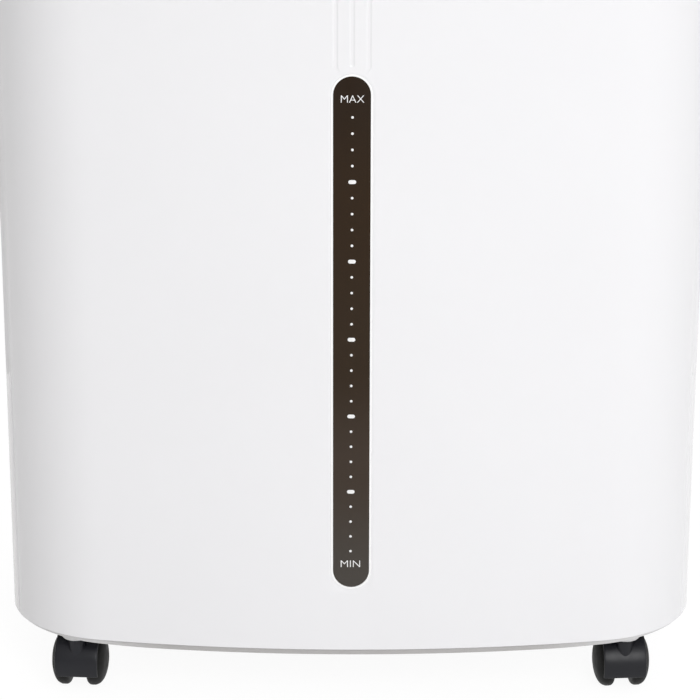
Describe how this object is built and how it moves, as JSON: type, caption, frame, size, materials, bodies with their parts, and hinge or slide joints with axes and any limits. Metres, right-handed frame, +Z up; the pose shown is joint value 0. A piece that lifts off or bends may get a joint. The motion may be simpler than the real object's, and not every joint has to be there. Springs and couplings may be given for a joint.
{
  "type": "dehumidifier",
  "caption": "Upright dehumidifier on castors, with a bowed front, a tall level window, side grips, a rear tank and a top outlet flap.",
  "frame": {"origin": "on the floor, under the middle of the overall box", "axes": "+Z up, the bowed front with the window faces -Y, +X to the viewer's right"},
  "size_m": [0.39, 0.29, 0.6384],
  "materials": {
    "white_gloss": "smooth moulded ABS, high gloss",
    "smoked_lens": "smoked polycarbonate, polished",
    "rubber": "matt",
    "grey_plastic": "fine moulded texture",
    "black_plastic": "fine moulded texture",
    "black_nylon": "satin moulded nylon",
    "clear_tank": "translucent, smooth",
    "foam_white": "moulded foam",
    "zinc_steel": "bright zinc plate",
    "fins": "plain fin stock",
    "black_paint": "semi-gloss paint",
    "copper": "bright drawn copper tube",
    "fascia_gloss": "polished",
    "board_green": "solder resist",
    "filter_mesh": "woven nylon mesh",
    "button_grey": "satin"
  },
  "bodies": {
    "cabinet": {"base_pan": "grey_plastic", "front_panel": "white_gloss", "rear_housing": "white_gloss", "top_cover": "white_gloss", "window_lens": "smoked_lens", "window_gasket": "rubber", "machine_deck": "zinc_steel", "drip_tray": "grey_plastic", "evaporator_coil": "fins", "condenser_coil": "fins", "compressor": "black_paint", "compressor_grommet_1": "rubber", "compressor_grommet_2": "rubber", "compressor_grommet_3": "rubber", "accumulator": "black_paint", "suction_pipe": "copper", "discharge_pipe": "copper", "capillary_tube": "copper", "fan_scroll": "black_plastic", "fan_motor": "zinc_steel", "control_fascia": "fascia_gloss", "control_board": "board_green", "cord_gland": "black_plastic", "control_box": "grey_plastic", "level_switch": "black_plastic"},
    "tank": {"water_tank": "clear_tank", "tank_lid": "grey_plastic"},
    "pull": {"tank_pull": "grey_plastic"},
    "float": {"float_arm": "foam_white"},
    "impeller": {"fan_impeller": "grey_plastic"},
    "flap": {"outlet_flap": "white_gloss"},
    "filter": {"filter_frame": "white_gloss", "filter_mesh": "filter_mesh"},
    "cap": {"drain_cap": "grey_plastic"},
    "power_button": {"power_button": "button_grey"},
    "mode_button": {"mode_button": "button_grey"},
    "speed_button": {"speed_button": "button_grey"},
    "timer_button": {"timer_button": "button_grey"},
    "humidity_button": {"humidity_button": "button_grey"},
    "castor_front_left": {"castor_front_left_stem": "zinc_steel", "castor_front_left_hood": "black_nylon", "castor_front_left_axle": "zinc_steel"},
    "wheel_front_left_left": {"castor_front_left_wheel_left": "black_nylon"},
    "wheel_front_left_right": {"castor_front_left_wheel_right": "black_nylon"},
    "castor_front_right": {"castor_front_right_stem": "zinc_steel", "castor_front_right_hood": "black_nylon", "castor_front_right_axle": "zinc_steel"},
    "wheel_front_right_left": {"castor_front_right_wheel_left": "black_nylon"},
    "wheel_front_right_right": {"castor_front_right_wheel_right": "black_nylon"},
    "castor_rear_left": {"castor_rear_left_stem": "zinc_steel", "castor_rear_left_hood": "black_nylon", "castor_rear_left_axle": "zinc_steel"},
    "wheel_rear_left_left": {"castor_rear_left_wheel_left": "black_nylon"},
    "wheel_rear_left_right": {"castor_rear_left_wheel_right": "black_nylon"},
    "castor_rear_right": {"castor_rear_right_stem": "zinc_steel", "castor_rear_right_hood": "black_nylon", "castor_rear_right_axle": "zinc_steel"},
    "wheel_rear_right_left": {"castor_rear_right_wheel_left": "black_nylon"},
    "wheel_rear_right_right": {"castor_rear_right_wheel_right": "black_nylon"}
  },
  "joints": [
    {"name": "tank_slide", "type": "slide", "parent": "cabinet", "child": "tank", "axis": [0, 1, 0], "range_m": [0, 0.26]},
    {"name": "pull_hinge", "type": "hinge", "parent": "tank", "child": "pull", "pos_m": [0, 0.136, 0.3214], "axis": [1, 0, 0], "range_deg": [0, 90]},
    {"name": "float_hinge", "type": "hinge", "parent": "tank", "child": "float", "pos_m": [0.072, -0.02, 0.3384], "axis": [-1, 0, 0], "range_deg": [0, 14]},
    {"name": "fan_spin", "type": "hinge", "parent": "cabinet", "child": "impeller", "pos_m": [-0.03, -0.022, 0.4854], "axis": [0, 1, 0], "continuous": true},
    {"name": "flap_hinge", "type": "hinge", "parent": "cabinet", "child": "flap", "pos_m": [0, 0.0478, 0.6344], "axis": [-1, 0, 0], "range_deg": [0, 75]},
    {"name": "filter_slide", "type": "slide", "parent": "cabinet", "child": "filter", "axis": [0, 1, 0], "range_m": [0, 0.06]},
    {"name": "cap_pull", "type": "slide", "parent": "cabinet", "child": "cap", "axis": [0, 1, 0], "range_m": [0, 0.015]},
    {"name": "power_press", "type": "slide", "parent": "cabinet", "child": "power_button", "axis": [0, 0, -1], "range_m": [0, 0.0008], "stiffness_N_per_m": 600, "springref_m": -0.0008},
    {"name": "mode_press", "type": "slide", "parent": "cabinet", "child": "mode_button", "axis": [0, 0, -1], "range_m": [0, 0.0008], "stiffness_N_per_m": 600, "springref_m": -0.0008},
    {"name": "speed_press", "type": "slide", "parent": "cabinet", "child": "speed_button", "axis": [0, 0, -1], "range_m": [0, 0.0008], "stiffness_N_per_m": 600, "springref_m": -0.0008},
    {"name": "timer_press", "type": "slide", "parent": "cabinet", "child": "timer_button", "axis": [0, 0, -1], "range_m": [0, 0.0008], "stiffness_N_per_m": 600, "springref_m": -0.0008},
    {"name": "humidity_press", "type": "slide", "parent": "cabinet", "child": "humidity_button", "axis": [0, 0, -1], "range_m": [0, 0.0008], "stiffness_N_per_m": 600, "springref_m": -0.0008},
    {"name": "swivel_front_left", "type": "hinge", "parent": "cabinet", "child": "castor_front_left", "pos_m": [-0.1545, -0.11603, 0.0366], "axis": [0, 0, 1], "continuous": true},
    {"name": "roll_front_left_left", "type": "hinge", "parent": "castor_front_left", "child": "wheel_front_left_left", "pos_m": [-0.1537, -0.10587, 0.0152], "axis": [0.9969, -0.0785, 0], "continuous": true},
    {"name": "roll_front_left_right", "type": "hinge", "parent": "castor_front_left", "child": "wheel_front_left_right", "pos_m": [-0.1537, -0.10587, 0.0152], "axis": [0.9969, -0.0785, 0], "continuous": true},
    {"name": "swivel_front_right", "type": "hinge", "parent": "cabinet", "child": "castor_front_right", "pos_m": [0.1545, -0.11603, 0.0366], "axis": [0, 0, 1], "continuous": true},
    {"name": "roll_front_right_left", "type": "hinge", "parent": "castor_front_right", "child": "wheel_front_right_left", "pos_m": [0.1537, -0.10587, 0.0152], "axis": [0.9969, 0.0785, 0], "continuous": true},
    {"name": "roll_front_right_right", "type": "hinge", "parent": "castor_front_right", "child": "wheel_front_right_right", "pos_m": [0.1537, -0.10587, 0.0152], "axis": [0.9969, 0.0785, 0], "continuous": true},
    {"name": "swivel_rear_left", "type": "hinge", "parent": "cabinet", "child": "castor_rear_left", "pos_m": [-0.1545, 0.1, 0.0366], "axis": [0, 0, 1], "continuous": true},
    {"name": "roll_rear_left_left", "type": "hinge", "parent": "castor_rear_left", "child": "wheel_rear_left_left", "pos_m": [-0.1545, 0.1102, 0.0152], "axis": [1, 0, 0], "continuous": true},
    {"name": "roll_rear_left_right", "type": "hinge", "parent": "castor_rear_left", "child": "wheel_rear_left_right", "pos_m": [-0.1545, 0.1102, 0.0152], "axis": [1, 0, 0], "continuous": true},
    {"name": "swivel_rear_right", "type": "hinge", "parent": "cabinet", "child": "castor_rear_right", "pos_m": [0.1545, 0.1, 0.0366], "axis": [0, 0, 1], "continuous": true},
    {"name": "roll_rear_right_left", "type": "hinge", "parent": "castor_rear_right", "child": "wheel_rear_right_left", "pos_m": [0.1545, 0.1102, 0.0152], "axis": [1, 0, 0], "continuous": true},
    {"name": "roll_rear_right_right", "type": "hinge", "parent": "castor_rear_right", "child": "wheel_rear_right_right", "pos_m": [0.1545, 0.1102, 0.0152], "axis": [1, 0, 0], "continuous": true}
  ]
}
